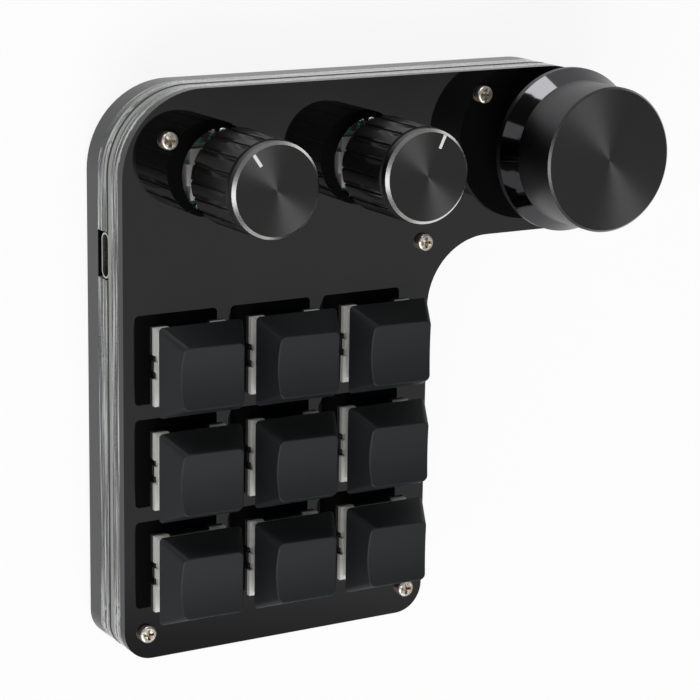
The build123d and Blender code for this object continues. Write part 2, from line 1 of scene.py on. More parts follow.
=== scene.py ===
from math import cos, pi, radians, sin
import bpy
from mathutils import Matrix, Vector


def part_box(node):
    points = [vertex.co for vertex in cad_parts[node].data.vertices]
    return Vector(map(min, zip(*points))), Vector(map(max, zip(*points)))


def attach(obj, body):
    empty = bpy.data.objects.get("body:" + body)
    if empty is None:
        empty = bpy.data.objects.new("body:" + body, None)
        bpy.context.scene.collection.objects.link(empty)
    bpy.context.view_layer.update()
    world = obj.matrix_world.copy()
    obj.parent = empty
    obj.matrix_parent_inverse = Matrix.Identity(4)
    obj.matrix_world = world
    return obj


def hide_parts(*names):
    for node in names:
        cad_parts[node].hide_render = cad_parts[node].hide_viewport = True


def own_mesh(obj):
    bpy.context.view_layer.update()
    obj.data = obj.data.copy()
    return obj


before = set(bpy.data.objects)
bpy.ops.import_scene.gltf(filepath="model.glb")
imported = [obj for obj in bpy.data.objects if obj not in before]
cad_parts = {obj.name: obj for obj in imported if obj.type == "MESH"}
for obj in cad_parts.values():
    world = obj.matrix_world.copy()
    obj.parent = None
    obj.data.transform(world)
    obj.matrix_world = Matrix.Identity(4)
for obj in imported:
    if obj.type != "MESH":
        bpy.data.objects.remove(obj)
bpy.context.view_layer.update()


# The camera, at the photograph's viewing angle: a long lens above the keypad's left edge,
# turned so that the arm runs across the top of the picture.
bpy.ops.object.camera_add(
    location=(-0.2584, 0.124725, 0.4474),
    rotation=(radians(-14.424), radians(-30.155), radians(1.036)),
)
camera = bpy.context.object
camera.name = "camera"
camera.data.sensor_width = 36
camera.data.lens = 130.83
camera.data.shift_y = -0.0014
camera.data.clip_start = 0.01
bpy.context.scene.camera = camera
bpy.context.scene.view_settings.view_transform = "Standard"


# The studio: a white table that runs on as a white room. Gloss sees more than the camera
# does: a table that is greyer at the far left, dark walls low down, and a window in a dim
# ceiling. Two broad soft lamps light the keypad, and four low light boxes draw its edges.
def linear(hex_color):
    """An sRGB hex colour as linear red, green, blue and alpha."""
    channels = [int(hex_color[i:i + 2], 16) / 255 for i in (1, 3, 5)]
    return [c / 12.92 if c <= 0.04045 else ((c + 0.055) / 1.055) ** 2.4 for c in channels] + [1.0]


def add_node(tree, kind, settings=None, links=None):
    """Adds a node, sets its properties and sockets, and links sockets to outputs.

    Where a whole node is given as the source of a link, its first output is meant.
    """
    node = tree.nodes.new(kind)
    for key, value in (settings or {}).items():
        if isinstance(key, str) and hasattr(node, key):
            setattr(node, key, value)
        else:
            node.inputs[key].default_value = value
    for key, source in (links or {}).items():
        output = source if isinstance(source, bpy.types.NodeSocket) else source.outputs[0]
        tree.links.new(output, node.inputs[key])
    return node


table_width = 6
bpy.ops.object.select_all(action="DESELECT")
bpy.ops.mesh.primitive_plane_add(size=table_width, location=(0, 0, 0))
table_top = bpy.context.object
table_top.name = "table_top"
table_white = bpy.data.materials.new("white_table_paint")
table_white.use_nodes = True
tree = table_white.node_tree
tree.nodes.clear()
rays = add_node(tree, "ShaderNodeLightPath")
seen = add_node(
    tree, "ShaderNodeMath", {"operation": "MAXIMUM"},
    {0: rays.outputs["Is Camera Ray"], 1: rays.outputs["Is Glossy Ray"]},
)
seen = add_node(
    tree, "ShaderNodeMath", {"operation": "MAXIMUM"}, {0: seen, 1: rays.outputs["Is Transmission Ray"]}
)
share = add_node(tree, "ShaderNodeMath", {"operation": "MULTIPLY", 1: 0.9}, {0: seen})
paint = add_node(tree, "ShaderNodeBsdfDiffuse", {"Color": linear("#ffffff")})
place = add_node(tree, "ShaderNodeTexCoord")
way = add_node(tree, "ShaderNodeSeparateXYZ", None, {0: place.outputs["Object"]})
far_left = add_node(
    tree, "ShaderNodeMapRange", {"From Min": -0.08, "From Max": -0.045, "To Min": 0.75},
    {"Value": way.outputs["X"]},
)
strength = add_node(
    tree, "ShaderNodeMath", {"operation": "MAXIMUM"}, {0: far_left, 1: rays.outputs["Is Camera Ray"]}
)
glow = add_node(tree, "ShaderNodeEmission", {"Color": linear("#ffffff")}, {"Strength": strength})
mixed = add_node(tree, "ShaderNodeMixShader", None, {0: share, 1: paint, 2: glow})
add_node(tree, "ShaderNodeOutputMaterial", None, {"Surface": mixed})
table_top.data.materials.append(table_white)

# The room reads the direction that a ray goes in. Each edge of its window is an axis of that
# direction, with the share along it where the window begins and where it is full.
room = bpy.data.worlds.new("studio_room")
bpy.context.scene.world = room
room.use_nodes = True
tree = room.node_tree
tree.nodes.clear()
place = add_node(tree, "ShaderNodeTexCoord")
way = add_node(tree, "ShaderNodeSeparateXYZ", None, {0: place.outputs["Generated"]})
soft = {"interpolation_type": "SMOOTHSTEP"}
ceiling = add_node(
    tree, "ShaderNodeMapRange", soft | {"From Min": 0.05, "From Max": 0.6, "To Min": 0.12, "To Max": 0.28},
    {"Value": way.outputs["Z"]},
)
dark_side = add_node(
    tree, "ShaderNodeMapRange", soft | {"From Min": -0.75, "From Max": -0.1, "To Min": 0.35},
    {"Value": way.outputs["X"]},
)
lit = add_node(tree, "ShaderNodeMath", {"operation": "MULTIPLY"}, {0: ceiling, 1: dark_side})
window = None
window_edges = (
    ("Y", -0.36, -0.32), ("Y", -0.1, -0.18), ("X", 0.2, 0.36), ("X", 0.78, 0.62), ("Z", 0.3, 0.5),
)
for axis, begins, full in window_edges:
    edge = add_node(
        tree, "ShaderNodeMapRange", soft | {"From Min": begins, "From Max": full},
        {"Value": way.outputs[axis]},
    )
    if window:
        window = add_node(tree, "ShaderNodeMath", {"operation": "MULTIPLY"}, {0: window, 1: edge})
    else:
        window = edge
window_glow = 0.46
bright = add_node(
    tree, "ShaderNodeMath", {"operation": "MULTIPLY_ADD", 1: window_glow}, {0: window, 2: lit}
)
walls = add_node(tree, "ShaderNodeBackground", {"Color": linear("#ffffff")}, {"Strength": bright})
white = add_node(tree, "ShaderNodeBackground", {"Color": linear("#ffffff"), "Strength": 1.0})
rays = add_node(tree, "ShaderNodeLightPath")
seen = add_node(
    tree, "ShaderNodeMath", {"operation": "MAXIMUM"},
    {0: rays.outputs["Is Camera Ray"], 1: rays.outputs["Is Transmission Ray"]},
)
mixed = add_node(tree, "ShaderNodeMixShader", None, {0: seen, 1: walls, 2: white})
add_node(tree, "ShaderNodeOutputWorld", None, {"Surface": mixed})

# The lamps, all rectangles that face the keypad: azimuth and elevation in degrees, distance,
# width and height in metres, and the brightness of the lamp's face.
for name, azimuth, elevation, distance, width, tall, glow in (
    ("main_soft_box", -115, 52, 1.2, 0.9, 0.7, 5.0),
    ("left_soft_box", -168, 32, 0.9, 0.5, 0.4, 1.5),
    ("back_light_box", 103, 3, 0.7, 0.52, 0.12, 8.0),
    ("left_light_box", 158, 9, 0.7, 0.28, 0.12, 0.8),
    ("front_light_box", -142, 4, 0.7, 0.42, 0.16, 0.6),
    ("near_light_box", -103, 11, 0.7, 0.3, 0.14, 0.5),
):
    azimuth, elevation = radians(azimuth), radians(elevation)
    bpy.ops.object.light_add(
        type="AREA",
        location=(
            distance * cos(azimuth) * cos(elevation),
            distance * sin(azimuth) * cos(elevation),
            distance * sin(elevation),
        ),
        rotation=(pi / 2 - elevation, 0, azimuth + pi / 2),
    )
    lamp = bpy.context.object
    lamp.name = name
    lamp.data.shape = "RECTANGLE"
    lamp.data.size = width
    lamp.data.size_y = tall
    lamp.data.energy = glow * pi * width * tall


# Back plate: 5 mm cast acrylic, black. Its faces are polished and mirror the room; its edge
# was cut by a laser, which leaves fine upright streaks and a satin grey sheen. The top plate
# shares the material, with a darker grey on its edge.
MM = 0.001


def new_material(name, values=None):
    """A material, its node tree and its Principled shader, with the values that are even all over."""
    made = bpy.data.materials.new(name)
    made.use_nodes = True
    shader = made.node_tree.nodes["Principled BSDF"]
    for socket, value in (values or {}).items():
        shader.inputs[socket].default_value = value
    return made, made.node_tree, shader


def dress(material, *nodes):
    """Gives CAD nodes their finish."""
    for name in nodes:
        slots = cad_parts[name].data.materials
        slots.clear()
        slots.append(material)


def laser_streaks(tree, strength, depth):
    """Bump of upright streaks, 0.25 mm apart and 8 mm long, on the cut edge alone.

    Also gives a node that is 1 on the edge and 0 on the faces.
    """
    place = add_node(tree, "ShaderNodeTexCoord")
    upright = add_node(
        tree, "ShaderNodeMapping", {"Scale": (4 / MM, 4 / MM, 0.12 / MM)}, {"Vector": place.outputs["Object"]}
    )
    streaks = add_node(tree, "ShaderNodeTexNoise", {"Scale": 1.0, "Detail": 2.0}, {"Vector": upright})
    facing = add_node(tree, "ShaderNodeNewGeometry")
    parts = add_node(tree, "ShaderNodeSeparateXYZ", None, {0: facing.outputs["Normal"]})
    flat = add_node(tree, "ShaderNodeMath", {"operation": "ABSOLUTE"}, {0: parts.outputs["Z"]})
    edge = add_node(tree, "ShaderNodeMath", {"operation": "LESS_THAN", 1: 0.5}, {0: flat})
    amount = add_node(tree, "ShaderNodeMath", {"operation": "MULTIPLY", 1: strength}, {0: edge})
    bump = add_node(tree, "ShaderNodeBump", {"Distance": depth}, {"Strength": amount, "Height": streaks})
    return bump, edge


black_acrylic, tree, shader = new_material("cast_acrylic_black", {"IOR": 1.49, "Specular IOR Level": 0.45})
streaks, edge = laser_streaks(tree, 0.25, 0.02 * MM)
tree.links.new(streaks.outputs[0], shader.inputs["Normal"])
gloss = add_node(tree, "ShaderNodeMapRange", {"To Min": 0.03, "To Max": 0.3}, {"Value": edge})
tree.links.new(gloss.outputs[0], shader.inputs["Roughness"])
place = add_node(tree, "ShaderNodeTexCoord")
way = add_node(tree, "ShaderNodeSeparateXYZ", None, {0: place.outputs["Object"]})
between_plates = 15 * MM
upper = add_node(
    tree, "ShaderNodeMath", {"operation": "GREATER_THAN", 1: between_plates}, {0: way.outputs["Z"]}
)
cut = add_node(
    tree, "ShaderNodeMix", {"data_type": "RGBA", 6: linear("#292a2b"), 7: linear("#161617")}, {0: upper}
)
tone = add_node(
    tree, "ShaderNodeMix", {"data_type": "RGBA", 6: linear("#0e0e0f")}, {0: edge, 7: cut.outputs[2]}
)
tree.links.new(tone.outputs[2], shader.inputs["Base Color"])
dress(black_acrylic, "back_plate")


# Rubber feet: four pads of moulded rubber, stuck under the back plate. They are matte, and
# a little dust lies on them in specks, drawn a millimetre across so that they can show.
def mottle(tree, shader, dark, light, grain, detail=2.0):
    """Base colour that a noise varies between two tones.

    grain is the noise's scale, or one scale for each axis where the surface was drawn or
    wiped along one of them.
    """
    where = add_node(tree, "ShaderNodeTexCoord").outputs["Object"]
    if isinstance(grain, tuple):
        where = add_node(tree, "ShaderNodeMapping", {"Scale": grain}, {"Vector": where})
        grain = 1.0
    noise = add_node(tree, "ShaderNodeTexNoise", {"Scale": grain, "Detail": detail}, {"Vector": where})
    tone = add_node(
        tree, "ShaderNodeMix", {"data_type": "RGBA", 6: linear(dark), 7: linear(light)}, {0: noise}
    )
    tree.links.new(tone.outputs[2], shader.inputs["Base Color"])
    return noise


foot_rubber, tree, shader = new_material("moulded_rubber_black", {"Roughness": 0.75})
mottle(tree, shader, "#161616", "#262524", 0.9 / MM, detail=3.0)
dress(foot_rubber, "rubber_feet")

# Clear frames: two rings of cast acrylic, 4 mm and 3 mm, with the board clamped between them.
# The laser leaves their edges clear but streaked, so they glow pale grey. Frosted lines run along
# them, partly the laser's real frosting and partly painted reflections from inside the acrylic,
# and painted glints, square and hatched 0.5 mm apart, sit near four screws and the socket.
clear_acrylic, tree, shader = new_material(
    "cast_acrylic_clear", {"Base Color": linear("#f6f8f7"), "IOR": 1.49}
)
streaks, edge = laser_streaks(tree, 0.5, 0.05 * MM)
tree.links.new(streaks.outputs[0], shader.inputs["Normal"])
place = add_node(tree, "ShaderNodeTexCoord")
lengthways = add_node(
    tree, "ShaderNodeMapping", {"Scale": (0.05 / MM, 0.05 / MM, 2.2 / MM)}, {"Vector": place.outputs["Object"]}
)
patches = add_node(tree, "ShaderNodeTexNoise", {"Scale": 1.0, "Detail": 3.0}, {"Vector": lengthways})
# Frost lines along the edge: the laser's real frosting, with painted reflections of light inside the acrylic
# on top of it.
frost_and_reflection_lines = add_node(
    tree, "ShaderNodeMapRange", {"From Min": 0.46, "From Max": 0.66, "To Max": 0.6}, {"Value": patches}
)
flat_place = add_node(
    tree, "ShaderNodeVectorMath", {"operation": "MULTIPLY", 1: (1, 1, 0)}, {0: place.outputs["Object"]}
)
# Painted glints: near these spots, light caught round the screws and the socket is painted as hatched white
# squares; x, y and reach in mm.
nearest = None
painted_glint_spots = (
    (-52.1, -51.475, 10), (7.4, -51.475, 10), (-47.25, 46.675, 15), (23.8, 51.325, 10), (-56.8, 28, 7),
)
for spot_x, spot_y, reach in painted_glint_spots:
    away = add_node(
        tree, "ShaderNodeVectorMath", {"operation": "DISTANCE", 1: (spot_x * MM, spot_y * MM, 0)},
        {0: flat_place},
    )
    away = add_node(
        tree, "ShaderNodeMath", {"operation": "DIVIDE", 1: reach * MM}, {0: away.outputs["Value"]}
    )
    if nearest:
        nearest = add_node(tree, "ShaderNodeMath", {"operation": "MINIMUM"}, {0: nearest, 1: away})
    else:
        nearest = away
near_glint_spot = add_node(tree, "ShaderNodeMapRange", {"From Min": 1.0, "From Max": 0.65}, {"Value": nearest})
blocks = add_node(
    tree, "ShaderNodeTexVoronoi", {"distance": "CHEBYCHEV", "Scale": 0.42 / MM},
    {"Vector": place.outputs["Object"]},
)
chance = add_node(tree, "ShaderNodeSeparateColor", None, {0: blocks.outputs["Color"]})
glint_squares = add_node(
    tree, "ShaderNodeMapRange", {"From Min": 0.6, "From Max": 0.85, "To Max": 0.6}, {"Value": chance}
)
hatch = add_node(
    tree, "ShaderNodeTexWave", {"bands_direction": "Z", "Scale": 0.6 / MM, "Distortion": 3.0},
    {"Vector": place.outputs["Object"]},
)
hatched_glint_squares = add_node(
    tree, "ShaderNodeMath", {"operation": "MULTIPLY"}, {0: glint_squares, 1: hatch.outputs["Fac"]}
)
painted_glints = add_node(tree, "ShaderNodeMath", {"operation": "MULTIPLY"}, {0: near_glint_spot, 1: hatched_glint_squares})
frost_and_painted_light = add_node(tree, "ShaderNodeMath", {"operation": "MAXIMUM"}, {0: frost_and_reflection_lines, 1: painted_glints})
edge_frost_and_painted_light = add_node(tree, "ShaderNodeMath", {"operation": "MULTIPLY"}, {0: frost_and_painted_light, 1: edge})
clear = add_node(tree, "ShaderNodeMath", {"operation": "SUBTRACT", 0: 1.0}, {1: edge_frost_and_painted_light})
tree.links.new(clear.outputs[0], shader.inputs["Transmission Weight"])
gloss = add_node(tree, "ShaderNodeMapRange", {"To Min": 0.03, "To Max": 0.06}, {"Value": edge})
tree.links.new(gloss.outputs[0], shader.inputs["Roughness"])
dress(clear_acrylic, "lower_frame", "upper_frame")

# Gasket: a black sheet, half a millimetre, laid under the board, which draws a dark line
# all round at that joint. It is half matte; its grain is drawn 0.7 mm wide, coarser than a real one.
joint_line_sheet, tree, shader = new_material("black_joint_line_sheet", {"Roughness": 0.5})
mottle(tree, shader, "#0c0c0c", "#1b1b1b", 1.5 / MM)
dress(joint_line_sheet, "gasket")

# Circuit board: glass-fibre laminate with a glossy black solder mask on its faces. Its sawn
# edge is bare laminate, dull, pale and layered; the layers are drawn 0.4 mm apart.
laminate, tree, shader = new_material("fr4_laminate_black_mask")
place = add_node(tree, "ShaderNodeTexCoord")
facing = add_node(tree, "ShaderNodeNewGeometry")
parts = add_node(tree, "ShaderNodeSeparateXYZ", None, {0: facing.outputs["Normal"]})
flat = add_node(tree, "ShaderNodeMath", {"operation": "ABSOLUTE"}, {0: parts.outputs["Z"]})
face = add_node(tree, "ShaderNodeMath", {"operation": "GREATER_THAN", 1: 0.5}, {0: flat})
layers = add_node(
    tree, "ShaderNodeTexWave", {"bands_direction": "Z", "Scale": 0.8 / MM, "Distortion": 1.5},
    {"Vector": place.outputs["Object"]},
)
glass = add_node(
    tree, "ShaderNodeMix", {"data_type": "RGBA", 6: linear("#8b8d89"), 7: linear("#a3a5a0")},
    {0: layers.outputs["Fac"]},
)
tone = add_node(
    tree, "ShaderNodeMix", {"data_type": "RGBA", 7: linear("#0b0e0d")}, {0: face, 6: glass.outputs[2]}
)
tree.links.new(tone.outputs[2], shader.inputs["Base Color"])
gloss = add_node(tree, "ShaderNodeMapRange", {"To Min": 0.6, "To Max": 0.22}, {"Value": face})
tree.links.new(gloss.outputs[0], shader.inputs["Roughness"])
dress(laminate, "circuit_board")

# USB-C socket: a shell drawn from stainless steel, hung under the board. Rolling left fine
# marks along it, drawn 0.3 mm apart, which blur its shine. The switches' contacts, the snap
# domes and the large dial's grub screw are of the same bright steel.
steel, tree, shader = new_material("stamped_stainless_steel", {"Metallic": 1.0})
marks = mottle(tree, shader, "#b4b4b0", "#d2d2ce", (0.3 / MM, 3 / MM, 0.3 / MM), detail=4.0)
gloss = add_node(tree, "ShaderNodeMapRange", {"To Min": 0.22, "To Max": 0.36}, {"Value": marks})
tree.links.new(gloss.outputs[0], shader.inputs["Roughness"])
dress(steel, "usb_shell", "contacts", "push_domes", "main_dial_screw")

# Socket tongue: a thin blade of black nylon, moulded and half matte, in the middle of the
# shell. The turning carriers in the encoders are moulded of the same nylon.
tongue_plastic, tree, shader = new_material("moulded_nylon_black", {"Roughness": 0.45})
mottle(tree, shader, "#080808", "#0e0e0e", 2.5 / MM)
dress(tongue_plastic, "usb_tongue", "wiper_rotor_1", "wiper_rotor_2", "wiper_rotor_3")

# Tongue contacts: twelve gold-plated strips on each side of the tongue, 0.5 mm apart, stamped
# and moulded in. Plugs have wiped fine marks along them, drawn 0.2 mm apart.
gold, tree, shader = new_material("gold_plated_contact", {"Metallic": 1.0, "Roughness": 0.25})
mottle(tree, shader, "#c9a45a", "#e6c682", (0.4 / MM, 6 / MM, 0.4 / MM))

low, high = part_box("usb_tongue")
blade_thickness = 0.7 * MM
blade_middle = 9.4 * MM
strips_in_row = 12
strip_pitch = 0.5 * MM
strip_length = 3.2 * MM
strip_width = 0.25 * MM
strip_height = 0.06 * MM
strip_rounding = 0.02 * MM
strip_middle_x = low[0] + 2.1 * MM
strips = []
for face_z in (blade_middle + blade_thickness / 2, blade_middle - blade_thickness / 2):
    for strip_number in range(strips_in_row):
        strip_y = (low[1] + high[1]) / 2 + (strip_number - (strips_in_row - 1) / 2) * strip_pitch
        bpy.ops.object.select_all(action="DESELECT")
        bpy.ops.mesh.primitive_cube_add(
            size=1,
            location=(strip_middle_x, strip_y, face_z),
            scale=(strip_length, strip_width, strip_height),
        )
        strip = bpy.context.object
        bpy.ops.object.transform_apply(location=True, rotation=True, scale=True)
        bpy.ops.object.mode_set(mode="EDIT")
        bpy.ops.mesh.select_all(action="SELECT")
        bpy.ops.mesh.bevel(offset=strip_rounding, segments=2)
        bpy.ops.object.mode_set(mode="OBJECT")
        strips.append(strip)
bpy.ops.object.select_all(action="DESELECT")
for strip in strips:
    strip.select_set(True)
bpy.context.view_layer.objects.active = strips[0]
bpy.ops.object.join()
tongue_contacts = bpy.context.object
tongue_contacts.name = "tongue_contacts"
tongue_contacts.data.materials.append(gold)
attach(tongue_contacts, "case")

# Controller chip: a black epoxy package, moulded round the chip and soldered under the
# board. The glass in the epoxy makes it dull; its grain is drawn 0.3 mm wide.
package, tree, shader = new_material("epoxy_package_black", {"Roughness": 0.6})
grain = mottle(tree, shader, "#1a1a1b", "#252526", 3 / MM)
bump = add_node(tree, "ShaderNodeBump", {"Strength": 0.3, "Distance": 0.02 * MM}, {"Height": grain})
tree.links.new(bump.outputs[0], shader.inputs["Normal"])
dress(package, "controller_chip")

# Board parts: the crystal, the regulator and the small parts round the chip, soldered under
# the board and shown as fired ceramic, tan and slightly glossy.
ceramic, tree, shader = new_material("ceramic_parts_tan", {"Roughness": 0.4})
mottle(tree, shader, "#8c8272", "#a59a86", 2 / MM)
dress(ceramic, "board_parts")

# Top plate: 2 mm of the same black acrylic, so glossy that it mirrors the keys and dials.
# It shares the back plate's material.
dress(black_acrylic, "top_plate")

# Case screws: five cross-head screws of nickel-plated steel. Their heads are a little dented
# and soft in shine, and painted shade makes the cross recess darker and browner towards its
# floor. The rolled thread, 0.4 mm a turn, is drawn on the shank alone.
nickel, tree, shader = new_material("nickel_plated_steel", {"Metallic": 1.0, "Roughness": 0.4})
place = add_node(tree, "ShaderNodeTexCoord")
marks = add_node(
    tree, "ShaderNodeTexNoise", {"Scale": 1.2 / MM, "Detail": 3.0}, {"Vector": place.outputs["Object"]}
)
tone = add_node(
    tree, "ShaderNodeMix", {"data_type": "RGBA", 6: linear("#e0d9cc"), 7: linear("#f6f1e8")}, {0: marks}
)
way = add_node(tree, "ShaderNodeSeparateXYZ", None, {0: place.outputs["Object"]})
recess_rim = 18.6 * MM
recess_floor = 18.2 * MM
# Painted shade in the recess: darker and browner from the rim down to the floor.
deep = add_node(
    tree, "ShaderNodeMapRange", {"From Min": recess_rim, "From Max": recess_floor}, {"Value": way.outputs["Z"]}
)
recess_shade = add_node(
    tree, "ShaderNodeMix", {"data_type": "RGBA", 7: linear("#bcac94")}, {0: deep, 6: tone.outputs[2]}
)
tree.links.new(recess_shade.outputs[2], shader.inputs["Base Color"])
under_head = 17.55 * MM
thread = add_node(
    tree, "ShaderNodeTexWave", {"bands_direction": "Z", "Scale": 0.785 / MM},
    {"Vector": place.outputs["Object"]},
)
shank = add_node(tree, "ShaderNodeMath", {"operation": "LESS_THAN", 1: under_head}, {0: way.outputs["Z"]})
bump = add_node(
    tree, "ShaderNodeBump", {"Distance": 0.15 * MM}, {"Strength": shank, "Height": thread.outputs["Fac"]}
)
dents = add_node(
    tree, "ShaderNodeTexNoise", {"Scale": 0.9 / MM, "Detail": 1.0}, {"Vector": place.outputs["Object"]}
)
worn = add_node(
    tree, "ShaderNodeBump", {"Strength": 0.8, "Distance": 0.4 * MM}, {"Height": dents, "Normal": bump}
)
tree.links.new(worn.outputs[0], shader.inputs["Normal"])
dress(nickel, "case_screws")

# Threaded inserts: five brass sleeves, turned and pressed into the back plate, which the
# screws run into. They don't show from outside.
brass, tree, shader = new_material("turned_brass", {"Metallic": 1.0, "Roughness": 0.3})
mottle(tree, shader, "#b08d4a", "#cfae68", 1.5 / MM)
dress(brass, "threaded_inserts")

# Switch housings: milky white nylon, moulded in two halves that snap together in the plate's
# cut-outs. Light goes a little way into the nylon, so its edges look soft.
housing, tree, shader = new_material("moulded_nylon_white", {
    "Roughness": 0.42,
    "Subsurface Weight": 0.15,
    "Subsurface Radius": (0.8 * MM, 0.7 * MM, 0.6 * MM),
    "Subsurface Scale": 1.0,
})
mottle(tree, shader, "#e9e8e3", "#f4f3ef", 0.5 / MM)
dress(housing, "switch_bases", "switch_tops")

# Switch stems: brown acetal, moulded, slippery and fairly glossy. Each slides in its housing
# and carries a cap on its cross.
keys = [f"r{row}c{column}" for row in (1, 2, 3) for column in (1, 2, 3)]
stem_plastic, tree, shader = new_material("moulded_acetal_brown", {"Roughness": 0.35})
mottle(tree, shader, "#57402f", "#634a37", 0.9 / MM)
dress(stem_plastic, *[f"stem_{key}" for key in keys])

# Key springs: nine coils of hard-drawn steel wire, each between its housing's floor and the stem,
# and each held to the case. The wire is bright, with the die's grey marks drawn 0.3 mm long.
wire, tree, shader = new_material("drawn_spring_steel", {"Metallic": 1.0, "Roughness": 0.3})
mottle(tree, shader, "#a8a497", "#d2cebf", 3 / MM)

low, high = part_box("spring_r1c1")
wire_radius = 0.15 * MM
wire_sides = 8
coil_radius = (high[0] - low[0]) / 2 - wire_radius
coil_turns = 6
coil_height = high[2] - low[2]
steps_in_turn = 20
bpy.ops.object.select_all(action="DESELECT")
bpy.ops.mesh.primitive_circle_add(vertices=wire_sides, radius=wire_radius, location=(0, 0, 0))
coil = bpy.context.object
bpy.ops.object.mode_set(mode="EDIT")
bpy.ops.mesh.select_all(action="SELECT")
bpy.ops.transform.rotate(value=pi / 2, orient_axis="X", center_override=(0, 0, 0))
bpy.ops.transform.translate(value=(coil_radius, 0, low[2] + wire_radius))
bpy.ops.object.mode_set(mode="OBJECT")
wound = coil.modifiers.new("wound", "SCREW")
wound.iterations = coil_turns
wound.screw_offset = (coil_height - 2 * wire_radius) / coil_turns
wound.steps = steps_in_turn
wound.render_steps = steps_in_turn
bpy.ops.object.modifier_apply(modifier="wound")
bpy.ops.object.mode_set(mode="EDIT")
bpy.ops.mesh.select_all(action="SELECT")
bpy.ops.mesh.fill_holes(sides=wire_sides)
bpy.ops.mesh.normals_make_consistent(inside=False)
bpy.ops.object.mode_set(mode="OBJECT")
bpy.ops.object.shade_smooth_by_angle(angle=radians(60))
for key in keys:
    low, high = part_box(f"spring_{key}")
    spring = coil.copy()
    spring.data = coil.data.copy()
    bpy.context.collection.objects.link(spring)
    spring.name = f"coil_spring_{key}"
    spring.data.transform(Matrix.Translation(((low[0] + high[0]) / 2, (low[1] + high[1]) / 2, 0)))
    spring.data.materials.append(wire)
    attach(spring, "case")
    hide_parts(f"spring_{key}")
    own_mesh(spring)
bpy.data.objects.remove(coil)

# Keycaps: black moulded ABS with a fine matte spark texture, drawn 0.2 mm wide, that catches
# light softly along the rounded edges. Fingers have made patches 6 mm wide a little smoother.
cap_plastic, tree, shader = new_material("moulded_abs_black", {"IOR": 1.53, "Specular IOR Level": 0.36})
place = add_node(tree, "ShaderNodeTexCoord")
spark = add_node(
    tree, "ShaderNodeTexNoise", {"Scale": 4.5 / MM, "Detail": 2.0}, {"Vector": place.outputs["Object"]}
)
bump = add_node(tree, "ShaderNodeBump", {"Strength": 0.35, "Distance": 0.02 * MM}, {"Height": spark})
tree.links.new(bump.outputs[0], shader.inputs["Normal"])
wear = mottle(tree, shader, "#111416", "#161a1c", 0.16 / MM, detail=3.0)
gloss = add_node(tree, "ShaderNodeMapRange", {"To Min": 0.5, "To Max": 0.62}, {"Value": wear})
tree.links.new(gloss.outputs[0], shader.inputs["Roughness"])
dress(cap_plastic, *[f"keycap_{key}" for key in keys])

# Encoder bases: teal polyester, moulded and fairly glossy, soldered to the board by their
# terminals. They show in the wells round the small dials.
teal, tree, shader = new_material("moulded_pbt_teal", {"Roughness": 0.4})
mottle(tree, shader, "#4fbba6", "#69cfbb", 0.7 / MM)
dress(teal, "encoder_bases")

# Encoder frames: steel sheet, tinned, stamped and folded over the bases, with the bushing
# that carries the shaft. Rolling left faint ridges in the soft tin, drawn 0.4 mm apart.
tinned, tree, shader = new_material("tin_plated_steel", {"Metallic": 0.6, "Roughness": 0.32})
marks = mottle(tree, shader, "#dededc", "#f8f8f6", (2.5 / MM, 0.3 / MM, 0.3 / MM), detail=4.0)
bump = add_node(tree, "ShaderNodeBump", {"Strength": 0.3, "Distance": 0.02 * MM}, {"Height": marks})
tree.links.new(bump.outputs[0], shader.inputs["Normal"])
dress(tinned, "encoder_frames")

# Solder: a bright fillet round each of the encoders' terminals, where it goes through the
# board; hand soldered, so it is smooth and a little dished.
solder, tree, shader = new_material("tin_solder", {"Metallic": 1.0, "Roughness": 0.22})
frost = mottle(tree, shader, "#d0d0ce", "#ececea", 1.8 / MM)
bump = add_node(tree, "ShaderNodeBump", {"Strength": 0.3, "Distance": 0.03 * MM}, {"Height": frost})
tree.links.new(bump.outputs[0], shader.inputs["Normal"])

board_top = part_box("circuit_board")[1][2]
fillet_height = 0.4 * MM
fillet_foot = 0.95 * MM
fillet_neck = 0.5 * MM
fillet_rounding = 0.12 * MM
fillet_rim = 0.08 * MM
fillet_dish = 0.12 * MM
bpy.ops.object.select_all(action="DESELECT")
bpy.ops.mesh.primitive_cone_add(
    vertices=20, radius1=fillet_foot, radius2=fillet_neck, depth=fillet_height,
    location=(0, 0, board_top + fillet_height / 2),
)
fillet = bpy.context.object
bpy.ops.object.transform_apply(location=True, rotation=True, scale=True)
bpy.ops.object.mode_set(mode="EDIT")
bpy.ops.mesh.select_all(action="SELECT")
bpy.ops.mesh.bevel(offset=fillet_rounding, segments=2)
bpy.ops.mesh.select_all(action="DESELECT")
bpy.ops.object.mode_set(mode="OBJECT")
for face in fillet.data.polygons:
    face.select = face.normal.z > 0.99
bpy.ops.object.mode_set(mode="EDIT")
bpy.ops.mesh.inset(thickness=fillet_rim)
bpy.ops.transform.translate(value=(0, 0, -fillet_dish))
bpy.ops.object.mode_set(mode="OBJECT")
bpy.ops.object.shade_smooth_by_angle(angle=radians(50))
dial_axes = ((-35.3, 39.575), (-1.8, 39.575), (39.8, 40.075))
terminals = ((-2.5, 7.0), (0.0, 7.0), (2.5, 7.0), (-2.5, -7.0), (2.5, -7.0))
fillets = []
for axis_x, axis_y in dial_axes:
    for side, back in terminals:
        copied = fillet.copy()
        copied.data = fillet.data.copy()
        bpy.context.collection.objects.link(copied)
        copied.data.transform(Matrix.Translation(((axis_x + side) * MM, (axis_y + back) * MM, 0)))
        fillets.append(copied)
bpy.data.objects.remove(fillet)
bpy.ops.object.select_all(action="DESELECT")
for copied in fillets:
    copied.select_set(True)
bpy.context.view_layer.objects.active = fillets[0]
bpy.ops.object.join()
solder_fillets = bpy.context.object
solder_fillets.name = "solder_fillets"
solder_fillets.data.materials.append(solder)
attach(solder_fillets, "case")

